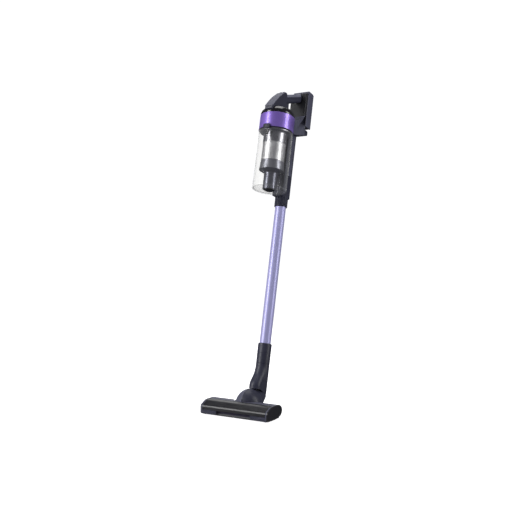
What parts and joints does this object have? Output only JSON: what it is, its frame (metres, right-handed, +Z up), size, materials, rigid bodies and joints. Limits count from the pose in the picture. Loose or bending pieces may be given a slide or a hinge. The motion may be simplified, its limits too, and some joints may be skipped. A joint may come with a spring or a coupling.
{
  "type": "cordless stick vacuum",
  "caption": "Battery stick vacuum: floor head with brush roller, swivel neck, wand, clear cyclone bin, motor unit with handle loop and slide-off battery.",
  "frame": {"origin": "middle of the hand grip, on the centre line of the handle bar", "axes": "+Z straight up from the floor that the head lies on, -Y towards the front of the floor head, +X to the right seen from the front"},
  "size_m": [0.25, 0.4805, 1.0972],
  "materials": {
    "charcoal": "satin moulded plastic with a fine texture",
    "dark_plastic": "dark satin plastic",
    "grey_plastic": "mid grey matte plastic",
    "black_gloss": "glossy black plastic",
    "wand_metal": "satin lavender anodised",
    "purple_band": "glossy purple",
    "silver_metal": "fine perforated mesh, bright",
    "grey_metal": "brushed",
    "steel": "plain",
    "rubber": "matte",
    "smoked_window": "glossy smoked, slightly see-through",
    "clear_bin": "clear, glossy",
    "foam": "open foam and felt",
    "circuit": "circuit board lacquer",
    "bristle": "soft nylon bristle"
  },
  "bodies": {
    "main_unit": {"motor_housing": "black_gloss", "vent_band": "purple_band", "motor_can": "silver_metal", "motor_bracket": "charcoal", "pre_motor_filter": "foam", "cyclone_body": "grey_metal", "cyclone_mesh": "silver_metal", "cyclone_skirt": "charcoal", "cyclone_cone": "dark_plastic", "inner_cyclones": "grey_plastic", "air_duct": "charcoal", "slot_trim_right": "grey_plastic", "slot_trim_left": "grey_plastic", "side_arm_right": "charcoal", "side_arm_left": "charcoal", "battery_housing": "dark_plastic", "battery_dock": "charcoal", "handle_bar": "grey_plastic", "control_pod": "black_gloss", "control_panel": "grey_plastic", "control_board": "circuit", "bin_seal": "rubber"},
    "fan": {"impeller": "silver_metal"},
    "power_key": {"power_button": "grey_plastic"},
    "mode_key": {"mode_button": "grey_plastic"},
    "bin_catch": {"bin_latch": "dark_plastic"},
    "wand_catch": {"wand_release": "dark_plastic"},
    "dust_bin": {"bin_cup": "clear_bin", "bin_hook": "dark_plastic", "bin_base_seal": "rubber"},
    "battery_pack": {"battery_case": "charcoal", "battery_base": "dark_plastic", "cell_pair_1": "steel", "cell_pair_2": "steel", "cell_pair_3": "steel"},
    "battery_catch": {"battery_release": "grey_plastic"},
    "wand": {"wand_tube": "wand_metal", "wand_top_fitting": "dark_plastic", "wand_bottom_fitting": "dark_plastic"},
    "neck": {"neck_shell": "charcoal", "neck_collar": "charcoal"},
    "neck_catch": {"neck_release": "dark_plastic"},
    "swivel_hub": {"hub_right": "charcoal", "hub_left": "charcoal"},
    "floor_head": {"head_cover": "grey_plastic", "head_window": "smoked_window", "front_strip_left": "grey_plastic", "front_strip_right": "grey_plastic", "end_cap_right": "black_gloss", "end_cap_left": "black_gloss", "sole_plate": "dark_plastic", "brush_motor": "steel", "drive_belt": "rubber"},
    "brush_roller": {"brush_core": "dark_plastic", "brush_bristles": "bristle"},
    "drive_pinion": {"motor_pinion": "steel"},
    "rear_wheel_r": {"rear_wheel_right": "rubber"},
    "rear_wheel_l": {"rear_wheel_left": "rubber"},
    "front_roller_r": {"front_roller_right": "rubber"},
    "front_roller_l": {"front_roller_left": "rubber"}
  },
  "joints": [
    {"name": "bin_slide", "type": "slide", "parent": "main_unit", "child": "dust_bin", "axis": [0, -0.2171, -0.9761], "range_m": [0, 0.21]},
    {"name": "battery_slide", "type": "slide", "parent": "main_unit", "child": "battery_pack", "axis": [0, 0.2171, 0.9761], "range_m": [0, 0.13]},
    {"name": "wand_pull", "type": "slide", "parent": "main_unit", "child": "wand", "axis": [0, -0.2171, -0.9761], "range_m": [0, 0.05]},
    {"name": "neck_pull", "type": "slide", "parent": "wand", "child": "neck", "axis": [0, -0.2171, -0.9761], "range_m": [0, 0.05]},
    {"name": "hub_swing", "type": "hinge", "parent": "neck", "child": "swivel_hub", "pos_m": [0, -0.26515, -1.02844], "axis": [0, 0.9578, 0.2873], "range_deg": [-35, 35]},
    {"name": "head_tilt", "type": "hinge", "parent": "swivel_hub", "child": "floor_head", "pos_m": [0, -0.26515, -1.02844], "axis": [1, 0, 0], "range_deg": [-12, 32]},
    {"name": "brush_spin", "type": "hinge", "parent": "floor_head", "child": "brush_roller", "pos_m": [0, -0.33465, -1.03944], "axis": [1, 0, 0], "continuous": true},
    {"name": "pinion_spin", "type": "hinge", "parent": "floor_head", "child": "drive_pinion", "pos_m": [0.114, -0.29515, -1.03444], "axis": [1, 0, 0], "continuous": true},
    {"name": "rear_wheel_r_spin", "type": "hinge", "parent": "floor_head", "child": "rear_wheel_r", "pos_m": [0.058, -0.28915, -1.04944], "axis": [1, 0, 0], "continuous": true},
    {"name": "front_roller_r_spin", "type": "hinge", "parent": "floor_head", "child": "front_roller_r", "pos_m": [0.1128, -0.34815, -1.05344], "axis": [1, 0, 0], "continuous": true},
    {"name": "rear_wheel_l_spin", "type": "hinge", "parent": "floor_head", "child": "rear_wheel_l", "pos_m": [-0.058, -0.28915, -1.04944], "axis": [1, 0, 0], "continuous": true},
    {"name": "front_roller_l_spin", "type": "hinge", "parent": "floor_head", "child": "front_roller_l", "pos_m": [-0.1128, -0.34815, -1.05344], "axis": [1, 0, 0], "continuous": true},
    {"name": "fan_spin", "type": "hinge", "parent": "main_unit", "child": "fan", "pos_m": [0, -0.09292, -0.11148], "axis": [0, 0.2171, 0.9761], "continuous": true},
    {"name": "power_press", "type": "slide", "parent": "main_unit", "child": "power_key", "axis": [0, -0.2171, -0.9761], "range_m": [0, 0.0012], "stiffness_N_per_m": 300, "springref_m": -0.002},
    {"name": "mode_press", "type": "slide", "parent": "main_unit", "child": "mode_key", "axis": [0, -0.2171, -0.9761], "range_m": [0, 0.0012], "stiffness_N_per_m": 300, "springref_m": -0.002},
    {"name": "bin_latch_press", "type": "slide", "parent": "main_unit", "child": "bin_catch", "axis": [0, 0.9761, -0.2171], "range_m": [0, 0.0014], "stiffness_N_per_m": 300, "springref_m": -0.002},
    {"name": "wand_release_press", "type": "slide", "parent": "main_unit", "child": "wand_catch", "axis": [0, -0.9761, 0.2171], "range_m": [0, 0.0015], "stiffness_N_per_m": 300, "springref_m": -0.002},
    {"name": "neck_release_press", "type": "slide", "parent": "neck", "child": "neck_catch", "axis": [0, -0.9761, 0.2171], "range_m": [0, 0.002], "stiffness_N_per_m": 300, "springref_m": -0.002},
    {"name": "battery_release_press", "type": "slide", "parent": "battery_pack", "child": "battery_catch", "axis": [0, -0.9761, 0.2171], "range_m": [0, 0.0011], "stiffness_N_per_m": 300, "springref_m": -0.002}
  ],
  "couplings": [
    {"joint": "pinion_spin", "follows": "brush_spin", "ratio": 1.7778}
  ]
}
